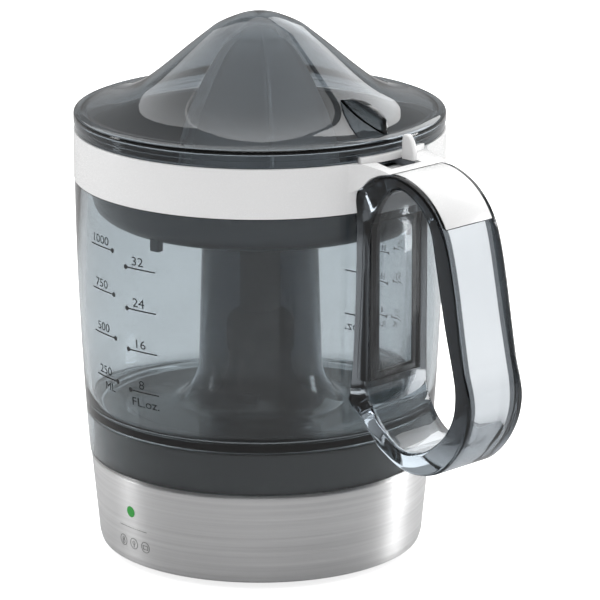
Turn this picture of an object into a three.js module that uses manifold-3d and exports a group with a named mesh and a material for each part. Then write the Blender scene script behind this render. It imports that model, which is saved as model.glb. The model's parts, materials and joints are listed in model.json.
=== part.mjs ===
// Citrus press juicer: motor base, clear jug with a loop handle, strainer, pulp dial, reamer and lid.
// Millimetres, +Z up. The drive axis is Z, the handle points along +X and the scale faces -Y.
import * as THREE from 'three';
import { mergeVertices } from 'three/addons/utils/BufferGeometryUtils.js';
import Module from 'manifold-3d';

const wasm = await Module();
wasm.setup();

// ---------- driving dimensions ----------
const DIAMETER = 150.4;       // overall width of the body
const HEIGHT = 222.0;         // overall height, feet to lid
const SIDES = 36;             // facets round the large turned pieces
const GAP = 0.3;              // play between pieces that touch

const BODY_R = 75.2;          // white collar, the widest ring
const LID_R = 75.1;
const LID_WALL = 2.0;
const LID_BOTTOM = 175.6;
const LID_STEP_Z = 178.4;
const NOTCH_ANGLE = 13.6;     // half angle of the lid notch at the handle

const JUG_TOP = 172.5;
const JUG_SHOULDER = 154.9;   // the collar sits above this ledge
const JUG_BOTTOM = 40.9;
const JUG_R = 74.9;
const JUG_TAPER = 4.7;
const JUG_BORE_R = 71.1;
const JUG_WALL = 2.3;
const JUG_FLOOR = 61.0;
const TUBE_TOP = 135.5;
const TUBE_R = 23.6;

const BASKET_FLOOR = 138.0;
const BASKET_R = 69.5;
const BASKET_WALL = 2.0;
const FLANGE_Z = [172.8, 175.3];
const SLOT_COUNT = 16;

const CONE_APEX = 215.0;
const CONE_BASE = 145.2;
const CONE_R = 38.6;
const RIBS = 6;
const RIB_TURN = 22.3;
const HUB_BASE = 171.4;
const FLUTE_DEPTH = 0.2;
const STEM_R = 8.4;

const HANDLE_WIDTH = 31.2;
const HANDLE_ROOT_WIDTH = 40.0;
const HANDLE_STRETCH = 1.0;   // scales the reach of the loop away from the jug

const DECK_TOP = 58.2;
const DECK_R = 67.0;
const TOWER_TOP = 98.7;
const BAND_TOP = 40.5;
const BAND_TOP_R = 69.6;
const BAND_FOOT_R = 66.4;
const FOOT_HEIGHT = 2.2;

const SPINDLE_R = 4.0;
const SPINDLE_TOP = 112.0;
const PLATE_Z = [28.0, 30.0];
const IDLER = [-7, 24];       // 25 mm from the drive axis
const ROTOR = [-27, 24];      // 20 mm from the idler axis
const TEETH = { drive: 40, idlerPinion: 10, idler: 40, rotorPinion: 10 };

const ACROSS = DIAMETER / 150.4;   // every size below is for this diameter and height
const UP = HEIGHT / 222.0;

// ---------- looks ----------
const look = (color, roughness, metalness = 0, opacity = 1) =>
  new THREE.MeshStandardMaterial({ color, roughness, metalness, opacity, transparent: opacity < 1 });
const SMOKE = () => look(0x5b646b, 0.06, 0, 0.55);
const CLEAR = () => look(0x9fb0ba, 0.05, 0, 0.4);
const WHITE = () => look(0xf4f4f2, 0.3);
const DARK = () => look(0x26282b, 0.42);
const GREY = () => look(0x4c5054, 0.35);
const CONE_GREY = () => look(0x7d8286, 0.25);
const STEEL = () => look(0xb9bbbd, 0.32, 0.95);
const BRIGHT = () => look(0xc9cbcd, 0.25, 1);
const RUBBER = () => look(0x1b1c1d, 0.85);
const COPPER = () => look(0x9c5a33, 0.4, 0.8);
const NYLON = () => look(0xe6e2d6, 0.55);

// ---------- solids ----------
const lerp = (a, b, t) => a + (b - a) * t;

function solid(geometry) {
  const bare = geometry.clone();
  for (const name of Object.keys(bare.attributes)) if (name !== 'position') bare.deleteAttribute(name);
  const merged = mergeVertices(bare, 1e-4);
  const p = merged.attributes.position.array;
  const index = merged.index.array;
  const tris = [];
  let volume = 0;
  for (let i = 0; i < index.length; i += 3) {
    const [a, b, c] = [index[i], index[i + 1], index[i + 2]];
    if (a === b || b === c || c === a) continue;
    tris.push(a, b, c);
    const [A, B, C] = [a, b, c].map((k) => new THREE.Vector3(p[3 * k], p[3 * k + 1], p[3 * k + 2]));
    volume += A.dot(B.cross(C));
  }
  if (volume < 0) for (let i = 0; i < tris.length; i += 3) [tris[i], tris[i + 1]] = [tris[i + 1], tris[i]];
  return new wasm.Manifold(new wasm.Mesh({
    numProp: 3, vertProperties: Float32Array.from(p), triVerts: Uint32Array.from(tris),
  }));
}

// profile: [r, z] points; closed on itself unless both ends lie on the axis
function revolve(profile, sides = SIDES) {
  const points = profile.map(([r, z]) => new THREE.Vector2(r, z));
  const [first, last] = [points[0], points[points.length - 1]];
  if (first.x > 1e-6 || last.x > 1e-6) points.push(first.clone());
  return solid(new THREE.LatheGeometry(points, sides).rotateX(Math.PI / 2));
}

const outline = (points) => new THREE.Shape(points.map(([a, b]) => new THREE.Vector2(a, b)));

function slab(points, z0, z1) {
  return solid(new THREE.ExtrudeGeometry(outline(points), { depth: z1 - z0, bevelEnabled: false }).translate(0, 0, z0));
}

// points are [x, z]; the slab runs from y0 to y1
function slabAcross(points, y0, y1) {
  const flat = new THREE.ExtrudeGeometry(outline(points), { depth: y1 - y0, bevelEnabled: false });
  return solid(flat.rotateX(Math.PI / 2).translate(0, y1, 0));
}

const box = (x0, x1, y0, y1, z0, z1) =>
  solid(new THREE.BoxGeometry(x1 - x0, y1 - y0, z1 - z0).translate((x0 + x1) / 2, (y0 + y1) / 2, (z0 + z1) / 2));

function rod(r, z0, z1, [x, y] = [0, 0], sides = 24) {
  return solid(new THREE.CylinderGeometry(r, r, z1 - z0, sides).rotateX(Math.PI / 2).translate(x, y, (z0 + z1) / 2));
}

const bush = (inner, outer, z0, z1, at = [0, 0], sides = 24) =>
  rod(outer, z0, z1, at, sides).subtract(rod(inner, z0 - 1, z1 + 1, at, sides));

const join = (...solids) => solids.reduce((all, next) => all.add(next));

// a wedge about the axis, centred on +X
function wedge(halfAngle, r0, r1, z0, z1, steps = 4) {
  const a = THREE.MathUtils.degToRad(halfAngle);
  const arc = (r, from, to) => Array.from({ length: steps + 1 }, (_, i) => {
    const t = lerp(from, to, i / steps);
    return [r * Math.cos(t), r * Math.sin(t)];
  });
  return slab([...arc(r0, -a, a), ...arc(r1, a, -a)], z0, z1);
}

// moves an open profile inward by a wall thickness along its normals
function inset(points, wall) {
  return points.map(([r, z], i) => {
    const [ra, za] = points[Math.max(i - 1, 0)];
    const [rb, zb] = points[Math.min(i + 1, points.length - 1)];
    const length = Math.hypot(rb - ra, zb - za);
    return [Math.max(r + (wall * (zb - za)) / length, 0), z - (wall * (rb - ra)) / length];
  });
}

function gearOutline(teeth, module, phase = 0, backlash = 0.3) {
  const pitch = (teeth * module) / 2;
  const tip = pitch + 0.9 * module;
  const root = pitch - 1.2 * module;
  const step = (2 * Math.PI) / teeth;
  const thin = backlash / 2 / pitch;
  const points = [];
  for (let i = 0; i < teeth; i++) {
    const middle = phase + i * step;
    points.push([root, middle - step * 0.35 + thin], [tip, middle - step * 0.14 + thin]);
    points.push([tip, middle + step * 0.14 - thin], [root, middle + step * 0.35 - thin]);
  }
  return points.map(([r, a]) => [r * Math.cos(a), r * Math.sin(a)]);
}

const gear = (teeth, module, z0, z1, [x, y], phase) =>
  slab(gearOutline(teeth, module, phase), z0, z1).translate([x, y, 0]);

const group = new THREE.Group();

function place(name, shape, material) {
  const { numProp, vertProperties, triVerts } = shape.getMesh();
  const positions = new Float32Array((vertProperties.length / numProp) * 3);
  for (let i = 0; i < positions.length / 3; i++) {
    for (let k = 0; k < 3; k++) positions[3 * i + k] = vertProperties[i * numProp + k];
  }
  const geometry = new THREE.BufferGeometry();
  geometry.setAttribute('position', new THREE.BufferAttribute(positions, 3));
  geometry.setIndex([...triVerts]);
  geometry.scale(ACROSS, ACROSS, UP);
  geometry.computeVertexNormals();
  const mesh = new THREE.Mesh(geometry, material);
  mesh.name = name;
  group.add(mesh);
  return mesh;
}

// ---------- jug ----------
const jugRadius = (z) => JUG_R - JUG_TAPER * Math.pow(Math.max(155 - z, 0) / 114, 1.8);
const jugLevels = [JUG_BOTTOM, 52, 64, 78, 92, 108, 126, JUG_SHOULDER];

const jugOutside = jugLevels.map((z) => [jugRadius(z), z]);
const jugInside = [
  [JUG_BORE_R, JUG_TOP], [JUG_BORE_R, 100],
  [jugRadius(80) - JUG_WALL, 80], [jugRadius(67) - JUG_WALL, JUG_FLOOR + 6],
  [68.6, JUG_FLOOR + 2], [66, JUG_FLOOR],
];
const tubeOutside = [
  [36, JUG_FLOOR], [32.3, 63], [29.9, 66], [26.9, 70], [25.4, 74.5], [25.1, 80], [TUBE_R, TUBE_TOP],
];
const tubeInside = [
  [TUBE_R - 2, TUBE_TOP], [23.1, 80], [23.4, 73.5], [24.9, 69], [28, 64.5], [30.8, 61], [34, JUG_FLOOR - 2.2],
];
const windowY = [-11.5, 5.5];           // the pulp arm swings in this gap
const ARM_Z = [171.8, 174.0];
const armWindow = box(60, 84.3, ...windowY, ARM_Z[0] - 0.4, 185);

const FLOOR_R = 66.0;                   // the floor and tube sit inside the wall
const jugWall = revolve([
  ...jugOutside, [73.4, JUG_SHOULDER], [73.4, JUG_TOP], ...jugInside.slice(0, -1), [FLOOR_R + GAP, JUG_FLOOR],
  [FLOOR_R + GAP, JUG_FLOOR - 2.2], [jugRadius(58) - JUG_WALL, JUG_FLOOR - 2.2],
  [jugRadius(JUG_BOTTOM) - JUG_WALL, JUG_BOTTOM],
]);
place('jug_body', jugWall.subtract(armWindow), CLEAR());
place('jug_floor', revolve([
  [FLOOR_R, JUG_FLOOR], ...tubeOutside, ...tubeInside, [FLOOR_R, JUG_FLOOR - 2.2],
]), CLEAR());

// ---------- handle ----------
const reach = (x) => 77 + (x - 77) * (x > 77 ? HANDLE_STRETCH : 1);
const handleOutside = [
  [66, 150], [69, 158], [72, 164], [77.9, 169.1], [82.2, 171.2], [87.9, 172.6], [93.6, 172.2], [99.3, 170.2],
  [104.4, 167.7], [108.6, 164.2], [112.2, 160.1], [115.1, 155.4], [117.3, 150.5], [119.5, 142.4], [124.2, 117.9],
  [127.2, 100.5], [129.5, 93.5], [130.8, 87], [130, 80.6], [128, 74.2], [124.3, 67.4], [119.5, 61.4],
  [113.8, 56.8], [106.7, 54.2], [99.5, 53.5], [93.7, 54.4], [87.8, 56.8], [81.9, 61], [77.5, 66.7],
  [73.8, 72.5], [66, 77.5],
].map(([x, z]) => [reach(x), z]);
const handleHole = [
  [77.5, 141], [79.5, 154.1], [81.7, 159.3], [85.1, 163.7], [88.7, 166.5], [93, 167], [98, 165], [102.3, 162],
  [105.9, 158.5], [108.8, 153.1], [110.3, 145.4], [116.4, 116.3], [121, 99.2], [122.1, 91.9], [121.6, 83.6],
  [119.2, 77.1], [115, 71.3], [110.8, 67.6], [106.5, 64.4], [101, 62.6], [96, 62.2], [91.8, 63.4], [86.7, 67.4],
  [81.4, 73], [78.4, 79], [77.5, 86],
].map(([x, z]) => [reach(x), z]);

const rootHalf = HANDLE_ROOT_WIDTH / 2;
const half = HANDLE_WIDTH / 2;
const planView = [
  [60, -rootHalf], [72, -rootHalf], [75.5, -half - 2.4], [80, -half - 0.8], [86, -half], [160, -half],
  [160, half], [86, half], [80, half + 0.8], [75.5, half + 2.4], [72, rootHalf], [60, rootHalf],
];
const jugEnvelope = revolve([
  [0, 20], [jugRadius(41) + GAP, 20], ...jugLevels.map((z) => [jugRadius(z) + GAP, z]), [jugRadius(155) + GAP, 180], [0, 180],
]);
const tonguePath = handleOutside.slice(3, 12);
const tongueHalf = half - 2.6;
const tongueDepth = 1.6;
const tongueInner = tonguePath.map(([x, z], i) => {
  const [xa, za] = tonguePath[Math.max(i - 1, 0)];
  const [xb, zb] = tonguePath[Math.min(i + 1, tonguePath.length - 1)];
  const length = Math.hypot(xb - xa, zb - za);
  return [x + (tongueDepth * (zb - za)) / length, z - (tongueDepth * (xb - xa)) / length];
});
const tongueBand = (extra) => [
  [72, 172.2 + extra], ...tonguePath.map(([x, z]) => [x, z + 6]), [tonguePath.at(-1)[0] + 6, 155.2 - extra],
  [tongueInner.at(-1)[0] - extra, 155.2 - extra],
  ...tongueInner.slice(0, -1).reverse().map(([x, z]) => [x - extra * 0.5, z - extra]),
];
const loop = slabAcross(handleOutside, -22, 22)
  .subtract(slabAcross(handleHole, -23, 23))
  .intersect(slab(planView, 20, 200));
const rib = box(70, 78.2, -half - 0.9, half + 0.9, 83, 86);
const handle = join(loop, rib.intersect(slab(planView, 20, 200)))
  .subtract(jugEnvelope)
  .subtract(revolve([[0, 154.9], [BODY_R + GAP, 154.9], [BODY_R + GAP, 180], [0, 180]]))
  .subtract(slabAcross(tongueBand(GAP), -tongueHalf - GAP, tongueHalf + GAP));
place('jug_handle', handle, SMOKE());

// ---------- collar ----------
const ring = revolve([[73.7, 155.2], [BODY_R, 155.2], [BODY_R, 175.5 - GAP], [73.7, 175.5 - GAP]]);
const saddleSide = [
  [73.8, 174.6], [80, 174.2], [88, 173.1], ...handleOutside.slice(3, 6).reverse().map(([x, z]) => [x, z + GAP]),
  [74.6, 167.2 + GAP],
];
const saddleHalf = half + 1.6;
const saddle = slabAcross(saddleSide, -saddleHalf, saddleHalf)
  .intersect(slab(planView, 20, 200).add(box(60, 80, -saddleHalf, saddleHalf, 20, 200)));
const tongue = slabAcross(tongueBand(0), -tongueHalf, tongueHalf)
  .intersect(slabAcross([[70, 150], [70, 168], ...handleOutside.slice(3, 14), [110, 150]], -20, 20));
const guideSlot = wedge(NOTCH_ANGLE + 0.3, 70, 76.7, 168.5, 190);
const collar = join(ring, saddle, tongue)
  .subtract(guideSlot)
  .subtract(armWindow)
  .subtract(revolve([[0, 150], [73.7, 150], [73.7, 190], [0, 190]]));
place('jug_collar', collar, WHITE());

// ---------- strainer ----------
const basketOutside = [
  [73.3, FLANGE_Z[1]], [73.3, FLANGE_Z[0]], [70.5, FLANGE_Z[0]], [BASKET_R + 0.3, 160], [BASKET_R - 0.3, 150],
  [68.2, 145.5], [65.8, 141.6], [62, 139], [57, BASKET_FLOOR], [13.2, BASKET_FLOOR],
];
const basketInside = [
  [11, BASKET_FLOOR], [11, 166], [13.2, 166], [13.2, BASKET_FLOOR + BASKET_WALL], [56.8, BASKET_FLOOR + BASKET_WALL],
  [61.2, 140.9], [64.4, 143], [66.3, 146.2], [67.2, 151], [68.3, FLANGE_Z[1]],
];
const basketProfile = [...basketOutside.slice(0, 9), ...basketInside];
let basket = revolve(basketProfile).subtract(armWindow);
const juiceSlot = (i, offset, width) => box(26, 50, -width / 2, width / 2, 130, 150)
  .rotate([0, 0, offset + (360 * i) / SLOT_COUNT]);
for (let i = 0; i < SLOT_COUNT; i++) basket = basket.subtract(juiceSlot(i, 4.25, 3));
place('strainer_basket', basket, GREY());

const guide = wedge(NOTCH_ANGLE, 73.9, 76.4, 168.8, 177.3)
  .subtract(box(60, 80, windowY[0], windowY[1], ARM_Z[0] - 0.4, ARM_Z[1] + 0.4));
place('lever_guide', guide, WHITE());

// ---------- pulp dial ----------
let pulpRing = revolve([
  [14, 140.4], [56.4, 140.4], [60, 141.6], [63.2, 144.2], [65.0, 147.4], [65.9, 151.6], [64.7, 151.6],
  [63.6, 147.8], [62, 145], [59.4, 142.9], [56.2, 141.9], [14, 141.9],
]);
for (let i = 0; i < SLOT_COUNT; i++) pulpRing = pulpRing.subtract(juiceSlot(i, 4.25, 3));
const armY = [1.6, 4.4];
const arm = join(
  box(63.7, 65.6, ...armY, 146.5, ARM_Z[1]),
  box(63.7, 82.2, ...armY, ...ARM_Z),
);
place('pulp_ring', join(pulpRing, arm), GREY());

const leverSide = [
  [77.2, ARM_Z[1] + GAP], [83.6, ARM_Z[1] + GAP], [83.1, 178.5], [82, 182], [80.6, 184], [79.4, 184.3],
  [77.8, 184.1], [77.2, 183.2],
];
place('pulp_lever', slabAcross(leverSide, ...armY), WHITE());

// ---------- reamer ----------
place('cone_bush', join(bush(STEM_R + 0.4, 10.7, 137.5, 166.6), bush(STEM_R + 0.4, 12.8, 166.4, 168.4)), NYLON());

const stemTop = 186;
const stem = join(
  rod(STEM_R, TOWER_TOP + GAP, 168.2),
  rod(6, 168, stemTop, [0, 0], 6),
).subtract(rod(4.7, TOWER_TOP - 1, 190));
place('cone_stem', stem, DARK());

const crest = [
  [0, CONE_APEX], [5, 214.4], [10, 212], [15, 207.6], [19, 202.2], [23, 195.5], [26.8, 188], [30, 180.5],
  [33, 172], [35.8, 162], [CONE_R - 0.8, 150], [CONE_R, CONE_BASE], [0, CONE_BASE],
];
function fluted(profile, sides) {
  const lathe = new THREE.LatheGeometry(profile.map(([r, z]) => new THREE.Vector2(r, z)), sides).rotateX(Math.PI / 2);
  const p = lathe.attributes.position;
  for (let i = 0; i < p.count; i++) {
    const [x, y, z] = [p.getX(i), p.getY(i), p.getZ(i)];
    const turn = ((Math.atan2(y, x) / (2 * Math.PI) + 1 - RIB_TURN / 360) * RIBS) % 1;
    const across = 1 - Math.abs(2 * turn - 1);
    const fade = Math.min(Math.max((z - CONE_BASE - 2) / 30, 0), 1) * Math.min((CONE_APEX - z) / 4, 1);
    const scale = 1 - FLUTE_DEPTH * fade * Math.sqrt(Math.max(1 - (1 - across) ** 2, 0));
    p.setXY(i, x * scale, y * scale);
  }
  return solid(lathe);
}
const coneHollow = revolve([
  [0, 204], [8, 202.5], [13, 197], [17, 190], [20.5, 182], [24, 172], [28, 160], [33, CONE_BASE + 3],
  [36.4, CONE_BASE - 1], [0, CONE_BASE - 1],
], 24);
const hub = bush(6.6, 8.8, HUB_BASE, 203, [0, 0], 18);
const cone = fluted(crest, RIBS * 12).subtract(coneHollow).add(hub);
place('juicing_cone', cone, CONE_GREY());
place('cone_push_pin', rod(3.2, SPINDLE_TOP + GAP, 202.2, [0, 0], 12), BRIGHT());

// ---------- lid ----------
const lidTop = [
  [0, 222], [10.6, 219.8], [17.3, 216.9], [22.1, 213.3], [30, 206.8], [38, 199.9], [45.5, 193.8], [50, 190.5],
  [58, 186.5], [66, 184], [71, 183], [73.6, 182.4], [LID_R, 180.8],
];
const lidUnder = inset(lidTop.slice(0, -2), LID_WALL).reverse();
const lidShell = revolve([
  ...lidTop, [LID_R, LID_STEP_Z], [LID_R - 0.3, LID_STEP_Z - 0.2], [LID_R - 0.3, LID_BOTTOM],
  [LID_R - LID_WALL, LID_BOTTOM], [LID_R - LID_WALL, 179.9], ...lidUnder,
]);
const finSide = [
  [43.2, 191.3], [47, 193.2], [51.7, 194.3], [56.7, 194.2], [61.2, 193.2], [65.2, 191.8], [68.4, 190], [70, 188.4],
  [70.3, 182.6], [60, 184.8], [50, 189.4], [44, 190.6],
];
const lid = join(lidShell, slabAcross(finSide, -1.3, 1.3))
  .subtract(wedge(NOTCH_ANGLE + 0.4, 70, 80, 170, 177.6));
place('lid_cover', lid, SMOKE());

// ---------- motor base ----------
const deckProfile = [
  [4.7, TOWER_TOP], [8, TOWER_TOP], [11.5, 97.8], [13.8, 95], [13.8, 84], [12.5, 81], [13.2, 73], [16.5, 65.5],
  [21, 60.6], [26, DECK_TOP], [DECK_R - 3, DECK_TOP], [DECK_R - 0.9, DECK_TOP - 0.9], [DECK_R, 55], [DECK_R, 41.6],
  [DECK_R - 0.4, 31], [DECK_R - 2.4, 31], [DECK_R - 2.2, 54], [DECK_R - 5, 55.8], [26, 55.8], [19, 58.6], [14.4, 63.6],
  [10.8, 72], [10, 80], [6.9, 82], [6.9, 96.6], [4.7, 96.6],
];
place('base_deck', revolve(deckProfile), DARK());

const bandProfile = [
  [63, 2.3], [65.3, 3.4], [BAND_FOOT_R, 6], [BAND_TOP_R, 39.3], [68.2, BAND_TOP], [67.3, BAND_TOP], [67.3, 39.4],
  [BAND_TOP_R - 1.6, 38.4], [BAND_FOOT_R - 1.3, 6.9], [64.2, 4.9], [62.8, 3.7],
];
const GROMMET_Z = 12;
const rearHole = (r, y0, y1) => rod(r, y0, y1, [0, 0], 20).rotate([-90, 0, 0]).translate([0, 0, GROMMET_Z]);
place('steel_band', revolve(bandProfile).subtract(rearHole(4.4, 55, 75)), STEEL());

const ringOf = (count, radius, start = 45) => Array.from({ length: count }, (_, i) => {
  const a = THREE.MathUtils.degToRad(start + (360 * i) / count);
  return [radius * Math.cos(a), radius * Math.sin(a)];
});
const screwSpots = ringOf(4, 50, 0);
const footSpots = ringOf(4, 52);
let cover = join(
  revolve([[0, FOOT_HEIGHT + GAP], [62.2, FOOT_HEIGHT + GAP], [62.2, 4.7], [0, 4.7]]),
  rod(18, 1.0, 3, [0, 0], 40), rod(4.2, 4.5, 8.7),
);
for (const at of screwSpots) cover = cover.subtract(rod(3.9, 2, 4, at, 16)).subtract(rod(1.6, 2, 6, at, 12));
place('bottom_cover', cover, DARK());

footSpots.forEach((at, i) => place(`foot_${i + 1}`, rod(5, 0, FOOT_HEIGHT, at, 20), RUBBER()));
screwSpots.forEach((at, i) => {
  const head = rod(3.4, 2.3, 3.6, at, 16);
  place(`cover_screw_${i + 1}`, head.add(rod(1.3, 3.5, 11, at, 12)), BRIGHT());
  place(`plate_post_${i + 1}`, rod(3.2, 5.0, PLATE_Z[0] - GAP, at, 16).subtract(rod(1.7, 4, 12, at, 12)), NYLON());
});

const grommet = join(rearHole(4.1, 60, 68.4), rearHole(6.2, 68.2, 70.2)).subtract(rearHole(2.4, 55, 75));
place('cord_grommet', grommet, RUBBER());

// ---------- motor and gear train ----------
const plate = rod(54, ...PLATE_Z, [0, 0], 40)
  .subtract(rod(4.4, 20, 40)).subtract(rod(2.2, 20, 40, ROTOR, 16));
place('chassis_plate', plate, BRIGHT());

const [rx, ry] = ROTOR;
const stator = join(
  box(rx - 15, rx - 7, -30, ry, 11.5, 23.5), box(rx + 7, rx + 15, -30, ry, 11.5, 23.5),
  box(rx - 15, rx + 15, -30, -20, 11.5, 23.5), box(rx - 15, rx + 15, ry - 12, ry + 12, 11.5, 23.5),
).subtract(rod(9.4, 10, 25, ROTOR));
place('stator_core', stator, BRIGHT());
[-11, 11].forEach((dx, i) => {
  const outer = box(rx + dx - 6.5, rx + dx + 6.5, -16, 6, 9, 26);
  place(`coil_${i + 1}`, outer.subtract(box(rx + dx - 4 - GAP, rx + dx + 4 + GAP, -20, 10, 11.5 - GAP, 23.5 + GAP)), COPPER());
});
[[rx - 11, -25], [rx + 11, -25], [rx - 11, ry + 6], [rx + 11, ry + 6]].forEach((at, i) =>
  place(`stator_post_${i + 1}`, rod(3, 5, 11.2, at, 14), NYLON()));

const idlerTurn = Math.atan2(ROTOR[1] - IDLER[1], ROTOR[0] - IDLER[0]);
const driveTurn = Math.atan2(-IDLER[1], -IDLER[0]);
place('rotor_magnet', bush(1.7, 8.6, 10.5, 24.5, ROTOR), DARK());
place('rotor_shaft', join(
  rod(1.4, 6, 37, ROTOR, 12),
  gear(TEETH.rotorPinion, 0.8, 31, 37, ROTOR, idlerTurn + Math.PI + Math.PI / TEETH.rotorPinion),
), BRIGHT());
place('idler_pin', rod(2, PLATE_Z[1] + GAP, 46, IDLER, 12), BRIGHT());
place('idler_gear', join(
  gear(TEETH.idler, 0.8, 31.5, 36.5, IDLER, idlerTurn),
  gear(TEETH.idlerPinion, 1, 36.4, 45, IDLER, driveTurn),
).subtract(rod(2.3, 30, 47, IDLER, 12)), NYLON());
const drive = gear(TEETH.drive, 1, 38.5, 44.5, [0, 0], driveTurn + Math.PI + Math.PI / TEETH.drive)
  .add(rod(8, 44, 52)).subtract(rod(SPINDLE_R + GAP, 30, 60));
place('drive_gear', drive, NYLON());
place('lower_bush', bush(SPINDLE_R + GAP, 6.5, PLATE_Z[1] + GAP, 38.2), BRIGHT());
place('upper_bush', bush(SPINDLE_R + GAP, 6.6, 84, 96.3), BRIGHT());

// ---------- spindle and switch ----------
const COLLAR_Z = [20.5, 22.2];
const spindle = join(
  rod(SPINDLE_R, COLLAR_Z[0], SPINDLE_TOP - 14), rod(8.8, ...COLLAR_Z), rod(4.3, SPINDLE_TOP - 12, SPINDLE_TOP, [0, 0], 6),
  rod(3.6, SPINDLE_TOP - 15, SPINDLE_TOP - 1),
);
place('spindle_shaft', spindle, BRIGHT());

const springZ = [9.6, COLLAR_Z[0] - 0.9];
const TURNS = 4;
class Helix extends THREE.Curve {
  getPoint(t, target = new THREE.Vector3()) {
    const a = 2 * Math.PI * TURNS * t;
    return target.set(3.1 * Math.cos(a), 3.1 * Math.sin(a), lerp(...springZ, t));
  }
}
const wire = new THREE.Shape();
wire.absarc(0, 0, 0.5, 0, 2 * Math.PI);
const coil = new THREE.ExtrudeGeometry(wire, {
  steps: TURNS * 12, curveSegments: 3, extrudePath: new Helix(), bevelEnabled: false,
});
place('return_spring', solid(coil), BRIGHT());

const BUTTON = [6.6, 0];
place('switch_body', box(4.7, 24, -5, 5, 5, 16.5).subtract(rod(1.9, 9, 20, BUTTON, 14)), DARK());
place('switch_button', rod(1.6, 12, COLLAR_Z[0] - GAP, BUTTON, 14), WHITE());

export default group;
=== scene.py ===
import json
import math
import bpy
from mathutils import Matrix, Vector

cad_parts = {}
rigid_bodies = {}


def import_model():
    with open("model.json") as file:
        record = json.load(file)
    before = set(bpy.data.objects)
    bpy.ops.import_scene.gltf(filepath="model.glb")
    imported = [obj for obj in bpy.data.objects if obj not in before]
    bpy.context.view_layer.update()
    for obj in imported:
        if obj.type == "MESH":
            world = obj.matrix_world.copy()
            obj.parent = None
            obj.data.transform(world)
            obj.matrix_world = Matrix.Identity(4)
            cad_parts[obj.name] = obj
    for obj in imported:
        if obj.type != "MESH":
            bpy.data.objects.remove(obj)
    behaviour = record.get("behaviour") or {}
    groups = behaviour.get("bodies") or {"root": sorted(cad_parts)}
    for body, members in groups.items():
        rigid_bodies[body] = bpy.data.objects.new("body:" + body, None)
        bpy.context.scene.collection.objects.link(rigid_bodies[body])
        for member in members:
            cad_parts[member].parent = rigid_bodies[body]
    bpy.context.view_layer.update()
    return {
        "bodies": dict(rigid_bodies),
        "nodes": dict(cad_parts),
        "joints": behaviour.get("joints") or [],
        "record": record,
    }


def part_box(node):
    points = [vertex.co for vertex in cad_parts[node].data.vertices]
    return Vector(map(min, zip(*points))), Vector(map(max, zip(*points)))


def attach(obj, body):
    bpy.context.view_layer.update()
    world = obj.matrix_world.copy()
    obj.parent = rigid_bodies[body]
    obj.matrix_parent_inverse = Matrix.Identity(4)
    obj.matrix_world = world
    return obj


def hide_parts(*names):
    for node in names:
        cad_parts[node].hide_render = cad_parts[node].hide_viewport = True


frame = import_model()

bl_info = {
    "name": "Citrus press juicer",
    "version": (1, 0, 0),
    "blender": (4, 5, 0),
    "location": "3D View > Sidebar > Juicer",
    "description": "Models a citrus press juicer: motor base, jug, strainer, reamer and lid",
    "category": "Object",
}

MM = 0.001


# ---------------------------------------------------------------- drawing lines

def flowing(points, per=5):
    """Fine points on one smooth curve through (a, b) points."""
    ends = [points[0], *points, points[-1]]
    fine = []
    for i in range(1, len(ends) - 2):
        p0, p1, p2, p3 = ends[i - 1:i + 3]
        for k in range(per):
            t = k / per
            fine.append(tuple(
                0.5 * (2 * b + (c - a) * t + (2 * a - 5 * b + 4 * c - d) * t * t
                       + (3 * b - a - 3 * c + d) * t ** 3)
                for a, b, c, d in zip(p0, p1, p2, p3)))
    return fine + [tuple(points[-1])]


def looping(points, per=4):
    """Fine points on a smooth closed curve."""
    n = len(points)
    fine = []
    for i in range(n):
        fine += flowing([points[i - 1], points[i], points[(i + 1) % n], points[(i + 2) % n]], per)[per:2 * per]
    return fine


def eased(points, closed=True, turn=15.0):
    """Rounds the corners of a line; a point is (a, b) or (a, b, radius)."""
    n = len(points)
    fine = []
    for i, point in enumerate(points):
        p = Vector(point[:2])
        radius = point[2] if len(point) > 2 else 0
        if radius <= 0 or (not closed and i in (0, n - 1)):
            fine.append(tuple(p))
            continue
        back, on = Vector(points[i - 1][:2]) - p, Vector(points[(i + 1) % n][:2]) - p
        half = back.angle(on) / 2
        if half > math.radians(88):
            fine.append(tuple(p))
            continue
        reach = min(radius / math.tan(half), 0.49 * back.length, 0.49 * on.length)
        radius = reach * math.tan(half)
        u, v = back.normalized(), on.normalized()
        middle = p + (u + v).normalized() * (radius / math.sin(half))
        start, stop = p + u * reach - middle, p + v * reach - middle
        sweep = start.angle_signed(stop)
        steps = max(2, round(abs(math.degrees(sweep)) / turn))
        for k in range(steps + 1):
            a = -sweep * k / steps
            fine.append((middle.x + start.x * math.cos(a) - start.y * math.sin(a),
                         middle.y + start.x * math.sin(a) + start.y * math.cos(a)))
    return fine


# ---------------------------------------------------------------- modelling steps

def rest():
    """Back to object mode with nothing selected."""
    if bpy.context.object and bpy.context.object.mode != "OBJECT":
        bpy.ops.object.mode_set(mode="OBJECT")
    bpy.ops.object.select_all(action="DESELECT")


def pick(piece):
    rest()
    piece.select_set(True)
    bpy.context.view_layer.objects.active = piece


def gather(first, others):
    """Selects pieces together, with the first one active."""
    rest()
    for piece in (first, *others):
        piece.select_set(True)
    bpy.context.view_layer.objects.active = first


def named(name):
    piece = bpy.context.object
    piece.name = piece.data.name = name
    return piece


def edit_all(piece):
    pick(piece)
    bpy.ops.object.mode_set(mode="EDIT")
    bpy.ops.mesh.select_all(action="SELECT")


def tidy(piece, merge=0.00001):
    """Merges doubles and turns the faces outwards."""
    edit_all(piece)
    bpy.ops.mesh.remove_doubles(threshold=merge)
    bpy.ops.mesh.normals_make_consistent(inside=False)
    rest()
    return piece


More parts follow.
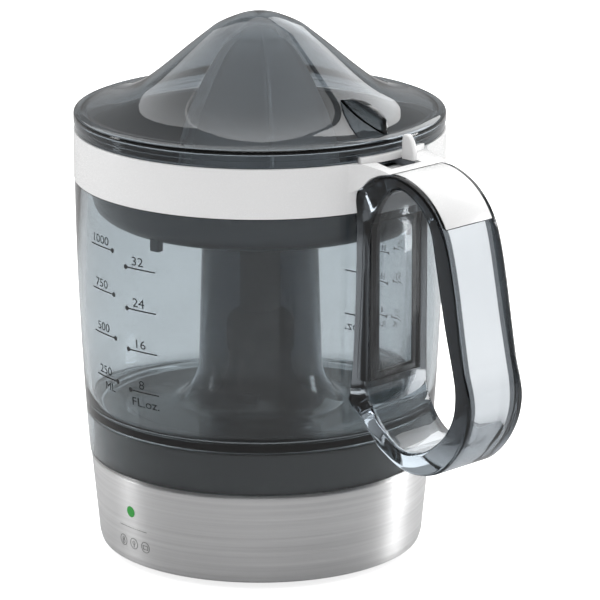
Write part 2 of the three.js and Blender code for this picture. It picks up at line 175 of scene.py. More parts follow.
def line_of(name, points, close=False):
    """One vertex, extruded from point to point; points are (x, y, z) in mm."""
    rest()
    bpy.ops.mesh.primitive_plane_add(size=MM)
    piece = named(name)
    bpy.ops.object.mode_set(mode="EDIT")
    bpy.ops.mesh.select_all(action="SELECT")
    bpy.ops.mesh.merge(type="CENTER")
    points = [Vector(p) * MM for p in points]
    bpy.ops.transform.translate(value=points[0])
    for a, b in zip(points, points[1:] + points[:1] if close else points[1:]):
        bpy.ops.mesh.extrude_region_move(TRANSFORM_OT_translate={"value": b - a})
    if close:
        bpy.ops.mesh.select_all(action="SELECT")
        bpy.ops.mesh.remove_doubles(threshold=0.000002)
    return piece


def turned(name, profile, steps=128, closed=True):
    """Spins an (r, z) profile round the drive axis."""
    piece = line_of(name, [(r, 0, z) for r, z in profile], closed)
    bpy.ops.mesh.select_all(action="SELECT")
    bpy.ops.mesh.spin(steps=steps, angle=2 * math.pi, center=(0, 0, 0), axis=(0, 0, 1))
    return tidy(piece, 0.000004)


def sheet_cut(name, outline, low, high, across="Y"):
    """Fills an outline and extrudes it: (x, z) along Y, or (x, y) along Z."""
    if across == "Y":
        piece, way = line_of(name, [(a, low, b) for a, b in outline], True), (0, (high - low) * MM, 0)
    else:
        piece, way = line_of(name, [(a, b, low) for a, b in outline], True), (0, 0, (high - low) * MM)
    bpy.ops.mesh.select_all(action="SELECT")
    bpy.ops.mesh.edge_face_add()
    bpy.ops.mesh.extrude_region_move(TRANSFORM_OT_translate={"value": way})
    return tidy(piece)


def block(name, low, high, soft=0.0):
    """A box between two corners in mm, with its edges bevelled."""
    rest()
    size = [(b - a) * MM for a, b in zip(low, high)]
    bpy.ops.mesh.primitive_cube_add(size=1, location=[(a + b) / 2 * MM for a, b in zip(low, high)], scale=size)
    piece = named(name)
    settle(piece)
    if soft:
        edit_all(piece)
        bpy.ops.mesh.bevel(offset=soft * MM, segments=3, affect="EDGES")
        rest()
    return piece


def settle(piece):
    """Puts the object's place, turn and scale into its mesh."""
    pick(piece)
    bpy.ops.object.transform_apply(location=True, rotation=True, scale=True)
    return piece


def modify(piece, kind, **settings):
    pick(piece)
    bpy.ops.object.modifier_add(type=kind)
    modifier = piece.modifiers[-1]
    for key, value in settings.items():
        setattr(modifier, key, value)
    bpy.ops.object.modifier_apply(modifier=modifier.name)
    return piece


def carve(piece, tool, operation="DIFFERENCE"):
    """Cuts, joins or keeps the common part of two solids; the tool is used up."""
    modify(piece, "BOOLEAN", object=tool, operation=operation, solver="EXACT")
    bpy.data.objects.remove(tool, do_unlink=True)
    return piece


def soften(piece, width, segments=3, angle=40):
    return modify(piece, "BEVEL", width=width * MM, segments=segments, limit_method="ANGLE",
                  angle_limit=math.radians(angle), use_clamp_overlap=True)


def round_the_axis(piece, count, start=0.0):
    """Copies of a piece at equal turns round the drive axis, joined into it."""
    copies = [piece]
    for i in range(count):
        turn = Matrix.Rotation(math.radians(start + 360 * i / count), 4, "Z")
        if i:
            copy = copies[0].copy()
            copy.data = copies[0].data.copy()
            bpy.context.collection.objects.link(copy)
            copies.append(copy)
            copy.matrix_world = turn
    piece.matrix_world = Matrix.Rotation(math.radians(start), 4, "Z")
    gather(piece, copies)
    bpy.ops.object.transform_apply(location=True, rotation=True, scale=True)
    bpy.ops.object.join()
    rest()
    return piece


def done(piece, body, slot, finish, *nodes, angle=32):
    """Shades the piece, gives it its finish and fixes it to its body."""
    pick(piece)
    bpy.ops.object.shade_smooth_by_angle(angle=math.radians(angle))
    piece.data.materials.clear()
    piece.data.materials.append(finish)
    rest()
    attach(piece, body)
    if nodes:
        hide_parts(*nodes)
    return piece


# ---------------------------------------------------------------- finishes

class Recipe:
    """A material's nodes, added one by one."""

    def __init__(self, name):
        self.material = bpy.data.materials.get(name) or bpy.data.materials.new(name)
        self.material.use_nodes = True
        self.tree = self.material.node_tree
        self.tree.nodes.clear()
        self.shader = self.add("ShaderNodeBsdfPrincipled")
        out = self.add("ShaderNodeOutputMaterial")
        self.link(self.shader.outputs[0], out.inputs["Surface"])
        self.out = out
        self.place = self.add("ShaderNodeTexCoord").outputs["Object"]

    def add(self, kind, **inputs):
        node = self.tree.nodes.new(kind)
        for key, value in inputs.items():
            node.inputs[key.replace("_", " ")].default_value = value
        return node

    def link(self, a, b):
        self.tree.links.new(a, b)

    def noise(self, scale, stretch=(1, 1, 1), detail=3.0):
        spread = self.add("ShaderNodeMapping")
        spread.inputs["Scale"].default_value = stretch
        self.link(self.place, spread.inputs["Vector"])
        grain = self.add("ShaderNodeTexNoise", Scale=scale, Detail=detail)
        self.link(spread.outputs[0], grain.inputs["Vector"])
        return grain.outputs["Fac"]

    def ranged(self, value, low, high):
        span = self.add("ShaderNodeMapRange")
        span.inputs["From Min"].default_value = 0.3
        span.inputs["From Max"].default_value = 0.7
        span.inputs["To Min"].default_value = low
        span.inputs["To Max"].default_value = high
        self.link(value, span.inputs["Value"])
        return span.outputs[0]

    def tint(self, value, dark, light):
        ramp = self.add("ShaderNodeValToRGB")
        ramp.color_ramp.elements[0].position = 0.3
        ramp.color_ramp.elements[1].position = 0.7
        ramp.color_ramp.elements[0].color = (*dark, 1)
        ramp.color_ramp.elements[1].color = (*light, 1)
        self.link(value, ramp.inputs[0])
        self.link(ramp.outputs[0], self.shader.inputs["Base Color"])

    def axes(self):
        """The place on the piece along X, Y and Z, in mm."""
        parts = self.add("ShaderNodeSeparateXYZ")
        self.link(self.place, parts.inputs[0])
        return [self.math("MULTIPLY", parts.outputs[i], 1000.0) for i in range(3)]

    def math(self, kind, *values):
        node = self.add("ShaderNodeMath")
        node.operation = kind
        for i, value in enumerate(values):
            if isinstance(value, (int, float)):
                node.inputs[i].default_value = value
            else:
                self.link(value, node.inputs[i])
        return node.outputs[0]

    def between(self, value, low, high, soft):
        """1 between two values, falling to 0 within a soft width outside them."""
        return self.math("MULTIPLY", self.step(value, low - soft, low), self.step(value, high + soft, high))

    def step(self, value, start, stop):
        span = self.add("ShaderNodeMapRange")
        span.inputs["From Min"].default_value = start
        span.inputs["From Max"].default_value = stop
        self.link(value, span.inputs["Value"])
        return span.outputs[0]

    def relief(self, value, strength, depth=0.0001):
        bump = self.add("ShaderNodeBump", Strength=strength, Distance=depth)
        self.link(value, bump.inputs["Height"])
        self.link(bump.outputs[0], self.shader.inputs["Normal"])

    def constant(self, **inputs):
        for key, value in inputs.items():
            self.shader.inputs[key.replace("_", " ")].default_value = value


def shade(colour, factor):
    return tuple(min(c * factor, 1) for c in colour)


def moulded(name, colour, rough=0.3, grain=900, strength=0.05, spread=0.03, coat=0.0):
    """Moulded plastic: fine orange peel, a little uneven in gloss and tone."""
    r = Recipe(name)
    fine, broad = r.noise(grain), r.noise(35, detail=5)
    r.tint(broad, shade(colour, 1 - spread), shade(colour, 1 + spread))
    r.link(r.ranged(fine, rough * 0.85, rough * 1.15), r.shader.inputs["Roughness"])
    r.relief(fine, strength)
    r.constant(IOR=1.5, Coat_Weight=coat, Coat_Roughness=0.08)
    return r.material


def see_through(name, colour, density=0.0, smoke=(0.5, 0.5, 0.5), ior=1.49, rough=0.015, shine=0.5,
                darker=None):
    """Clear plastic: tinted at its surfaces and, where density is given, in its depth.

    darker is a second tint and a function of the recipe that says where it goes."""
    r = Recipe(name)
    r.constant(Transmission_Weight=1.0, IOR=ior, Specular_IOR_Level=shine)
    r.shader.inputs["Base Color"].default_value = (*colour, 1)
    if darker:
        second, where = darker
        mix = r.add("ShaderNodeMix")
        mix.data_type = "RGBA"
        mix.inputs[6].default_value = (*colour, 1)
        mix.inputs[7].default_value = (*second, 1)
        r.link(where(r), mix.inputs[0])
        r.link(mix.outputs[2], r.shader.inputs["Base Color"])
    wave = r.noise(60, detail=1)
    r.link(r.ranged(wave, rough * 0.5, rough * 1.5), r.shader.inputs["Roughness"])
    r.relief(wave, 0.02)
    if density:
        depth = r.add("ShaderNodeVolumeAbsorption", Color=(*smoke, 1), Density=density)
        r.link(depth.outputs[0], r.out.inputs["Volume"])
    return r.material


def tube_zone(r):
    """The jug's middle, inside the foot of its tube."""
    x, y, _ = r.axes()
    return r.between(r.math("SQRT", r.math("ADD", r.math("MULTIPLY", x, x), r.math("MULTIPLY", y, y))), -1, 29,
                     3)


def dark_zone(r):
    """Where painted shade darkens the clear handle: its flanges along the grip and arch, and the frame of its
    pocket.
    """
    x, y, z = r.axes()
    wide = r.math("ABSOLUTE", y)
    grip = r.math("MULTIPLY", r.between(x, 96, 200, 6), r.between(z, 74, 300, 16))
    arch = r.between(z, 146, 300, 10)
    flange = r.math("MULTIPLY", r.between(wide, 12.6, 300, 0.5), r.math("MAXIMUM", grip, arch))
    root = r.between(x, -100, 77, 0.6)
    frame = r.math("MULTIPLY", r.between(wide, 11.5, 300, 0.4), r.between(z, 84, 300, 1))
    ledge = r.math("MULTIPLY", r.between(z, 83.4, 86.7, 0.2), r.between(wide, -100, 15.4, 0.3))
    return r.math("MAXIMUM", flange, r.math("MULTIPLY", root, r.math("MAXIMUM", frame, ledge)))


def brushed(name, colour, rough=0.42, stretch=(14, 14, 2600), strength=0.12, aniso=0.85):
    """Steel brushed round the axis, with long fine streaks."""
    r = Recipe(name)
    fine = r.noise(1.0, stretch, 4)
    long_streak = r.noise(1.0, (6, 6, stretch[2] * 0.3), 3)
    r.tint(long_streak, shade(colour, 0.93), shade(colour, 1.05))
    r.link(r.ranged(fine, rough * 0.75, rough * 1.3), r.shader.inputs["Roughness"])
    r.relief(fine, strength, 0.00004)
    r.constant(Metallic=1.0, Anisotropic=aniso, Anisotropic_Rotation=0.25)
    tangent = r.add("ShaderNodeTangent")
    tangent.direction_type, tangent.axis = "RADIAL", "Z"
    r.link(tangent.outputs[0], r.shader.inputs["Tangent"])
    return r.material


def machined(name, colour, rough=0.35):
    r = Recipe(name)
    fine = r.noise(700, (1, 1, 0.2))
    r.tint(r.noise(60), shade(colour, 0.9), shade(colour, 1.05))
    r.link(r.ranged(fine, rough * 0.7, rough * 1.3), r.shader.inputs["Roughness"])
    r.relief(fine, 0.1, 0.00003)
    r.constant(Metallic=1.0)
    return r.material


def wound(name, colour):
    """Enamelled wire, wound in even turns."""
    r = Recipe(name)
    wave = r.add("ShaderNodeTexWave", Scale=420.0, Distortion=0.4)
    wave.bands_direction = "Y"
    r.link(r.place, wave.inputs["Vector"])
    # The grooves between turns are painted darker along with the relief: painted shade.
    r.tint(wave.outputs["Fac"], shade(colour, 0.55), colour)
    r.relief(wave.outputs["Fac"], 0.6, 0.0002)
    r.constant(Metallic=0.7, Roughness=0.35)
    return r.material


FINISHES = {}


def stock_finishes(looks):
    """Makes every finish once, from the panel's colours."""
    FINISHES.update(
        jug=see_through("jug clear", looks.jug_tint, 100.0, (0.4, 0.44, 0.46), shine=0.3,
                        darker=(looks.tube_tint, tube_zone)),
        smoke=see_through("lid smoke", looks.lid_tint, 240.0, (0.36, 0.4, 0.43), rough=0.02),
        # The handle's second tint is painted shade, laid on its flanges, arch and pocket frame.
        handle=see_through("handle smoke", looks.handle_tint, looks.handle_density, (0.45, 0.5, 0.54),
                           darker=(looks.handle_edge, dark_zone)),
        white=moulded("white gloss", looks.white, 0.26, 3000, 0.02, 0.006, coat=0.3),
        basket=moulded("strainer grey", looks.strainer, 0.38, 1400, 0.08),
        cone=moulded("reamer grey", looks.reamer, 0.2, 3000, 0.02, 0.01, coat=0.4),
        black=moulded("stem black", looks.black, 0.4, 1600, 0.1),
        deck=moulded("deck dark", looks.deck, 0.34, 1600, 0.08),
        cover=moulded("underside black", shade(looks.black, 1.3), 0.5, 1200, 0.25),
        steel=brushed("brushed steel", looks.steel),
        bright=machined("machined steel", (0.62, 0.62, 0.63)),
        copper=wound("copper winding", (0.55, 0.24, 0.1)),
        nylon=moulded("nylon", (0.72, 0.68, 0.56), 0.5, 1100, 0.1, 0.05),
        rubber=moulded("rubber", (0.018, 0.018, 0.019), 0.75, 2200, 0.4),
        ink=moulded("black ink", (0.012, 0.013, 0.015), 0.45, 2000, 0.02),
        grey_ink=moulded("grey ink", (0.12, 0.12, 0.12), 0.45, 2000, 0.02),
        green=moulded("green ink", looks.dot, 0.35, 1500, 0.02),
    )


# ---------------------------------------------------------------- shared shapes, mm

def jug_radius(z):
    return 74.9 - 4.7 * (max(155 - z, 0) / 114) ** 1.8


PRINT_RADIUS = 75.0                  # marks are drawn flat at this radius, then wrapped
ML_MARKS, ML_RISE = 81.2, 0.0725     # height of the 250 ml line, and mm for each further ml
OZ_MARKS, OZ_RISE = 79.6, 0.068      # the same for the fluid ounce lines
BAND_FOOT, BAND_TOP = (66.45, 6.2), (69.6, 39.2)
REAR_INLET = Matrix.Translation((0, 0, 0.012)) @ Matrix.Rotation(-math.pi / 2, 4, "X")
JUG_LEVELS = [40.9, 46, 52, 58, 64, 71, 78, 85, 92, 100, 108, 117, 126, 136, 146, 154.9]
NOTCH = math.radians(13.6)
WINDOW = (-11.5, 5.5)


def wedge_outline(half_angle, inner, outer, steps=10):
    turn = [half_angle * (2 * i / steps - 1) for i in range(steps + 1)]
    return ([(inner * math.cos(a), inner * math.sin(a)) for a in turn]
            + [(outer * math.cos(a), outer * math.sin(a)) for a in reversed(turn)])


HANDLE_OUTSIDE = [
    (64, 128), (64.2, 139), (65.6, 149), (68.3, 157), (72, 163.6), (77.9, 169.1), (82.2, 171.2), (87.9, 172.5),
    (93.6, 172.1), (99.3, 170.2), (104.4, 167.5), (108.6, 164.1), (112.2, 160), (115.1, 155.4), (117.3, 150.3),
    (119.5, 142.4), (121.9, 131),
    (124.2, 117.9), (127.2, 101.5), (129.5, 93.5), (130.6, 87), (130, 80.6), (128, 74.2), (124.3, 67.4),
    (119.5, 61.6), (113.8, 57), (106.7, 54.4), (99.5, 53.6), (93.7, 54.5), (87.8, 56.9), (81.9, 61),
    (77.5, 66.7), (73.6, 73),
    (69, 79), (65.4, 88), (64, 98), (64, 113),
]
HANDLE_HOLE = [
    (77.5, 120), (77.5, 145), (79.5, 154.3), (81.9, 159.6), (85.1, 163.7), (88.9, 166.3), (93.2, 166.9),
    (98, 165.2),
    (102.3, 162.2), (105.9, 158.4), (108.6, 153.1), (110.4, 145.4), (113.2, 131.5), (116.4, 116.3),
    (120.4, 100.5),
    (122, 92), (121.6, 83.6), (119.2, 77.1), (115.3, 71.5), (110.8, 67.5), (106.3, 64.5), (101, 62.7),
    (96.2, 62.3),
    (91.3, 63.9), (86.5, 67.6), (81.8, 73), (78.9, 79), (77.6, 88),
]
RIB_TURN = math.radians(22.3)
TONGUE_HALF = 13.0


def spaced(points, count):
    """Points at equal steps along a closed line, from its lowest point on, counter-clockwise."""
    area = sum(a[0] * b[1] - b[0] * a[1] for a, b in zip(points, points[1:] + points[:1]))
    points = points if area > 0 else points[::-1]
    low = min(range(len(points)), key=lambda i: points[i][1])
    ring = points[low:] + points[:low + 1]
    far = [0.0]
    for a, b in zip(ring, ring[1:]):
        far.append(far[-1] + math.dist(a, b))
    steps, j = [], 0
    for k in range(count):
        t = far[-1] * k / count
        while far[j + 1] < t:
            j += 1
        f = (t - far[j]) / (far[j + 1] - far[j])
        steps.append(Vector([p + (q - p) * f for p, q in zip(ring[j], ring[j + 1])]))
    return steps


def across_to(ring, ways, hole):
    """For each point of a ring, where its inward normal first meets the hole's outline."""
    found = []
    for p, w in zip(ring, ways):
        reach = []
        for a, b in zip(hole, hole[1:] + hole[:1]):
            a, side = Vector(a) - p, Vector(b) - Vector(a)
            cross = w.y * side.x - w.x * side.y
            if abs(cross) > 1e-9:
                t, u = (a.y * side.x - a.x * side.y) / cross, (w.x * a.y - w.y * a.x) / cross
                if 0 <= u <= 1 and t < 0:
                    reach.append(-t)
        near = min((Vector(q) for q in hole), key=lambda q: (q - p).length)
        reach = [t for t in reach if t < 1.6 * (near - p).length]
        found.append(p - w * min(reach) if reach else near)
    return found


def outward(ring):
    """The normal of a counter-clockwise ring at each of its points."""
    n = len(ring)
    ways = [ring[(i + 1) % n] - ring[i - 1] for i in range(n)]
    return [Vector((w.y, -w.x)).normalized() for w in ways]


def handle_solid(sizes):
    """The loop: a torus whose rings are laid on the rounded section between two outlines."""
    count, corner, turns, flats = 160, 1.5, 5, 6
    outer = spaced(looping(HANDLE_OUTSIDE), count)
    hole = across_to(outer, outward(outer), looping(HANDLE_HOLE, 8))
    half = sizes.handle_width / MM / 2
    waist = [(60, 20.0), (71, 20.0), (75.5, half + 2.4), (80, half + 0.8), (87, half), (200, half)]
    section = []
    bend = [math.pi / 2 * k / turns for k in range(turns + 1)]
    for face in (0, 1):
        rows = [(1 - math.sin(t), 1 - math.cos(t)) for t in bend]
        side = [(inset, y, 1.0) for inset, y in rows]
        middle = [(0.0, 1.0, 1 - 2 * k / flats) for k in range(1, flats)]
        band = side + middle + [(inset, y, -1.0) for inset, y in reversed(rows)]
        section += [(face, inset, y, sign) for inset, y, sign in (band if face == 0 else
                                                                [(i, q, -g) for i, q, g in band])]
    rest()
    bpy.ops.mesh.primitive_torus_add(major_segments=count, minor_segments=len(section), major_radius=0.1,
                                     minor_radius=0.01)
    loop = named("jug_handle")
    normals = outward(outer), outward(hole)
    for i in range(count):
        for k, (face, inset, edge, sign) in enumerate(section):
            way = normals[face][i] * (-1 if face == 0 else 1)
            p = (outer, hole)[face][i] + way * inset * corner
            wide = 20.0
            for (xa, wa), (xb, wb) in zip(waist, waist[1:]):
                if xa <= p.x <= xb:
                    f = (p.x - xa) / (xb - xa)
                    wide = wa + (wb - wa) * (f * f * (3 - 2 * f))
            y = wide - corner * edge
            loop.data.vertices[i * len(section) + k].co = (p.x * MM, sign * y * MM, p.y * MM)
    return tidy(loop, 0.000002)


def jug_envelope(name, extra, low=20, high=200):
    """A solid a little wider than the jug, for trimming what stands against it."""
    side = [(jug_radius(z) + extra, z) for z in [low] + JUG_LEVELS[:-1] + [high]]
    side[0] = (jug_radius(41) + extra, low)
    return turned(name, [(0, low), *side, (0, high)], 128, closed=False)


def tongue_outline(extra=0.0, depth=1.6, above=6.0):
    """Side view of the white strip along the top of the handle's arch."""
    crest = flowing(HANDLE_OUTSIDE[5:14], 4)
    under = []
    for i, (x, z) in enumerate(crest):
        (xa, za), (xb, zb) = crest[max(i - 1, 0)], crest[min(i + 1, len(crest) - 1)]
        length = math.hypot(xb - xa, zb - za)
        under.append((x + (depth + extra) * (zb - za) / length, z - (depth + extra) * (xb - xa) / length))
    return ([(72, 172.2)] + [(x, z + above) for x, z in crest]
            + [(crest[-1][0] + above, 155.2 - extra), (under[-1][0], 155.2 - extra)] + under[:-1][::-1])


def stand_text(name, words, size, at, facing=-90.0, radius=PRINT_RADIUS, squeeze=1.3):
    """Flat lettering stood up and turned to face outwards at an angle round the jug."""
    rest()
    bpy.ops.object.text_add()
    text = bpy.context.object
    text.data.body = words
    text.data.size = size * MM
    text.data.align_x = "CENTER"
    text.data.extrude = 0.02 * MM
    text.data.resolution_u = 4
    pick(text)
    bpy.ops.object.convert(target="MESH")
    piece = named(name)
    piece.scale = (squeeze, 1, 1)
    settle(piece)
    edit_all(piece)
    bpy.ops.mesh.remove_doubles(threshold=0.000001)
    rest()
    angle = math.radians(facing)
    piece.matrix_world = (Matrix.Rotation(angle + math.pi / 2, 4, "Z")
                          @ Matrix.Translation((0, -(radius + at[2]) * MM, at[1] * MM))
                          @ Matrix.Rotation(math.pi / 2, 4, "X"))
    return settle(piece)


def wrap(piece, radius_at, lift):
    """Lays flat marks on a surface turned about the axis, a hair above it."""
    for v in piece.data.vertices:
        a = math.atan2(v.co.y, v.co.x)
        r = (radius_at(v.co.z / MM) + lift) * MM
        v.co.x, v.co.y = r * math.cos(a), r * math.sin(a)
    return piece


def arc_marks(name, marks, radius_at, lift=0.05, thick=0.04):
    """Ticks, dots and rings on a turned surface; each mark is a closed outline of (angle, z)."""
    pieces = []
    for i, (outline, holes) in enumerate(marks):
        piece = line_of(f"{name}_{i}", [(math.radians(a) * PRINT_RADIUS, z, 0) for a, z in outline], True)
        bpy.ops.mesh.select_all(action="SELECT")
        if holes:
            inner = line_of(f"{name}_{i}_in", [(math.radians(a) * PRINT_RADIUS, z, 0) for a, z in holes], True)
            gather(piece, [inner])
            bpy.ops.object.join()
            edit_all(piece)
            bpy.ops.mesh.bridge_edge_loops()
        else:
            bpy.ops.mesh.edge_face_add()
        bpy.ops.mesh.select_all(action="SELECT")
        bpy.ops.mesh.extrude_region_move(TRANSFORM_OT_translate={"value": (0, 0, thick * MM)})
        pieces.append(tidy(piece, 0.000001))
    gather(pieces[0], pieces[1:])
    if len(pieces) > 1:
        bpy.ops.object.join()
    piece = named(name)
    rest()
    for v in piece.data.vertices:
        a, z, up = v.co.x / MM / PRINT_RADIUS, v.co.y / MM, v.co.z / MM
        r = (radius_at(z) + lift + up) * MM
        v.co = (r * math.cos(a), r * math.sin(a), z * MM)
    return tidy(piece, 0.000001)


def tick(a, b, z, width=0.5):
    steps = 8
    across = [a + (b - a) * i / steps for i in range(steps + 1)]
    return ([(t, z - width / 2) for t in across] + [(t, z + width / 2) for t in reversed(across)], None)


def dot(a, z, r=1.0, hole=0.0, sides=24, unit=PRINT_RADIUS):
    turn = [2 * math.pi * i / sides for i in range(sides)]
    ring = lambda q: [(a + math.degrees(q / unit) * math.cos(t), z + q * math.sin(t)) for t in turn]
    return (ring(r), ring(hole) if hole else None)


def scale_marks(name, finish, turn):
    """Millilitre and fluid ounce scales on the jug, turned round it by an angle."""
    marks, words = [], []
    for ml, oz in ((250, 8), (500, 16), (750, 24), (1000, 32)):
        z, w = ML_MARKS + ML_RISE * (ml - 250), OZ_MARKS + OZ_RISE * (ml - 250)
        marks += [tick(turn - 108.0, turn - 95.8, z), dot(turn - 95.8, z),
                  tick(turn - 89.7, turn - 78.0, w), dot(turn - 89.7, w)]
        words += [(str(ml), 4.9, turn - 102.4, z + 1.3), (str(oz), 5.1, turn - 84.8, w + 1.3)]
    words += [("ML", 4.6, turn - 100.2, 76.2), ("FL.oz.", 5.0, turn - 83.6, 73.4)]
    piece = arc_marks(name, marks, jug_radius, 0.06)
    letters = []
    for i, (body, size, facing, z) in enumerate(words):
        text = stand_text(f"{name}_text_{i}", body, size, (0, z, 0), facing)
        letters.append(wrap(text, jug_radius, 0.08))
    gather(piece, letters)
    bpy.ops.object.join()
    rest()
    return done(piece, "jug", "black_plastic", finish)


# ---------------------------------------------------------------- settings

class JuicerSizes(bpy.types.PropertyGroup):
    overall_height: bpy.props.FloatProperty(
        name="Height", description="Top of the lid above the worktop", default=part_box("lid_cover")[1][2],
        unit="LENGTH")
    body_radius: bpy.props.FloatProperty(
        name="Body radius", description="Outside of the white collar", default=0.0752, unit="LENGTH")
    handle_width: bpy.props.FloatProperty(
        name="Handle width", description="Width of the loop across the grip", default=0.0312, unit="LENGTH")
    reamer_radius: bpy.props.FloatProperty(
        name="Reamer radius", description="Outer radius of the reamer's foot", default=0.0386, unit="LENGTH")
    ribs: bpy.props.IntProperty(name="Ribs", description="Sharp ribs round the reamer", default=6, min=4,
                                max=16)
    flute_depth: bpy.props.FloatProperty(
        name="Flute depth", description="How deep the flutes cut, as a share of the radius", default=0.2,
        subtype="FACTOR", min=0, max=0.4)


def colour(name, description, default):
    return bpy.props.FloatVectorProperty(name=name, description=description, default=default, subtype="COLOR")


class JuicerLooks(bpy.types.PropertyGroup):
    jug_tint: colour("Jug tint", "What one jug wall lets through", (0.665, 0.705, 0.725))
    tube_tint: colour("Tube tint", "What one wall of the jug's tube lets through", (0.185, 0.205, 0.23))
    # This colour is painted shade: the dark tint laid where the handle's clear sides and edges look dark.
    handle_edge: colour("Handle edge", "Darker line along the handle's rounded edges", (0.03, 0.034, 0.038))
    lid_tint: colour("Lid tint", "What the lid lets through", (0.47, 0.505, 0.53))
    handle_tint: colour("Handle tint", "Surface tint of the handle", (0.76, 0.78, 0.795))
    handle_density: bpy.props.FloatProperty(
        name="Handle smoke", description="How strongly the handle darkens light in its depth", default=55.0)
    white: colour("White", "Collar and levers", (0.83, 0.83, 0.825))
    strainer: colour("Strainer", "Strainer and pulp ring", (0.12, 0.13, 0.145))
    reamer: colour("Reamer", "Ribbed reamer", (0.80, 0.825, 0.845))
    black: colour("Black", "Stem and underside", (0.016, 0.017, 0.018))
    deck: colour("Deck", "Top of the motor base", (0.014, 0.016, 0.018))
    steel: colour("Steel", "Brushed band", (0.95, 0.95, 0.95))
    dot: colour("Front dot", "Green mark on the band", (0.03, 0.36, 0.05))


class MakingStep:
    """Shared by every step of the making."""
    bl_options = {"REGISTER", "UNDO"}

    def execute(self, context):
        self.make(context.scene.juicer_sizes, context.scene.juicer_looks)
        rest()
        return {"FINISHED"}


# ---------------------------------------------------------------- one operator per piece

class JUICER_OT_finishes(MakingStep, bpy.types.Operator):
    """Mix the plastics, steel, rubber and inks"""
    bl_idname = "juicer.finishes"
    bl_label = "Finishes"

    def make(self, sizes, looks):
        stock_finishes(looks)


class JUICER_OT_lid(MakingStep, bpy.types.Operator):
    """Spin the smoked lid, add its fin and cut the notch over the handle"""
    bl_idname = "juicer.lid"
    bl_label = "Lid"

    def make(self, sizes, looks):
        top = sizes.overall_height / MM
        dome = flowing([(0, top), (5.5, top - 0.55), (10.6, top - 2.2), (17.3, top - 5.3), (22.1, 213.1),
                        (30, 206.7),
                        (38, 199.9), (45, 194.3), (51, 190.3), (58, 187), (65, 184.7), (70.6, 183.3)], 4)
        under = flowing([(70.4, 181.1), (64.4, 182.6), (57.2, 184.9), (50, 188.3), (43.8, 192.6), (36.7, 198.3),
                         (28.7, 205.1), (20.9, 211.5), (16.4, 214.7), (10, 217.8), (5.2, 219.4), (0, top - 2)],
                         4)
        rim = eased([(70.6, 183.3), (72.3, 183.5, 0.5), (75.1, 182.4, 1.5), (75.1, 178.5, 0.25),
                     (74.7, 178.2, 0.2),
                     (74.7, 175.65, 0.35), (73.1, 175.65, 0.35), (73.1, 180.2, 0.8), (70.4, 181.1)],
                     closed=False)
        lid = turned("lid_cover", dome[:-1] + rim[:-1] + under, 160, closed=False)
        fin = sheet_cut("fin", eased([(43.2, 191.6, 0.3), (47, 193.4, 3), (51.7, 194.5, 5), (56.7, 194.4, 6),
                                      (61.2, 193.4, 6), (65.2, 192, 5), (68.4, 190.1, 4), (70.0, 188, 2),
                                      (70.3, 182.3, 0.2), (60, 185.1), (50, 189.6), (45, 192)]), -1.3, 1.3)
        soften(fin, 0.45, 2, 50)
        carve(lid, fin, "UNION")
        carve(lid, sheet_cut("notch", wedge_outline(NOTCH + 0.007, 70, 80), 170, 177.65, "Z"))
        done(tidy(lid), "lid", "smoke_plastic", FINISHES["smoke"], "lid_cover", angle=28)


class JUICER_OT_reamer(MakingStep, bpy.types.Operator):
    """Spin the reamer, press its flutes in and give it a wall; then its stem and push pin"""
    bl_idname = "juicer.reamer"
    bl_label = "Reamer and stem"

    def make(self, sizes, looks):
        foot, low = sizes.reamer_radius / MM, 145.2
        crest = flowing([(0, 215), (2.5, 214.85), (5, 214.4), (10, 212), (15, 207.6), (19, 202.2), (23, 195.5),
                         (26.8, 188), (30, 180.5), (33, 172), (35.8, 162), (foot - 0.8, 150),
                         (foot - 0.2, low + 0.8)], 4)
        crest += [(foot - 0.6, low)]
        per_rib = 24
        reamer = turned("juicing_cone", crest, sizes.ribs * per_rib, closed=False)
        rows = {}
        for v in reamer.data.vertices:
            r = math.hypot(v.co.x, v.co.y)
            if r < 0.0003:
                continue
            turn = ((math.atan2(v.co.y, v.co.x) - RIB_TURN) / (2 * math.pi) * sizes.ribs) % 1.0
            rows.setdefault((round(v.co.z / MM, 2), round((1 - abs(2 * turn - 1)) * per_rib)), []).append(v)
        for (z, step), found in rows.items():
            across = step / per_rib
            fade = min(max((z - low - 2) / 30, 0), 1) * min((215 - z) / 4, 1)
            push = 1 - sizes.flute_depth * fade * math.sqrt(max(1 - (1 - across) ** 2, 0))
            for v in found:
                v.co.x *= push
                v.co.y *= push
        tidy(reamer)
        modify(reamer, "SOLIDIFY", thickness=1.8 * MM, offset=-1)
        hub = turned("hub", eased([(6.7, 171.5), (8.7, 171.5, 0.4), (8.7, 208), (6.7, 208)]), 64)
        carve(hub, turned("trim", [(0, 165), (18, 165), (18, 192), (15, 198.5), (10.5, 203.5), (5, 205.9),
                                   (0, 206.4)],
                          72, closed=False), "INTERSECT")
        carve(reamer, hub, "UNION")
        done(tidy(reamer), "cone", "cone_plastic", FINISHES["cone"], "juicing_cone", angle=26)

        stem = turned("cone_stem", eased([
            (4.75, 99.0), (7.8, 99.0), (8.4, 99.6, 0.4), (8.4, 166.2, 0.3), (8.4, 168.1, 0.5),
            (6.2, 168.1, 0.3),
            (6.2, 186, 0.8), (4.75, 186, 0.3)]), 72)
        done(stem, "cone_shaft", "black_plastic", FINISHES["black"], "cone_stem")
        pin = turned("cone_push_pin", eased([(0, 112.4), (3.2, 112.4, 0.8), (3.2, 202, 0.8), (0, 202)],
                                            closed=False),
                     32, closed=False)
        done(pin, "cone", "machined_steel", FINISHES["bright"], "cone_push_pin")
        sleeve = turned("cone_bush", eased([
            (8.85, 137.6, 0.3), (10.6, 137.6, 0.4), (10.6, 166.45), (12.7, 166.45, 0.3), (12.7, 168.35, 0.5),
            (8.85, 168.35, 0.4)]), 72)
        done(sleeve, "cone_seat", "grey_plastic", FINISHES["nylon"], "cone_bush")


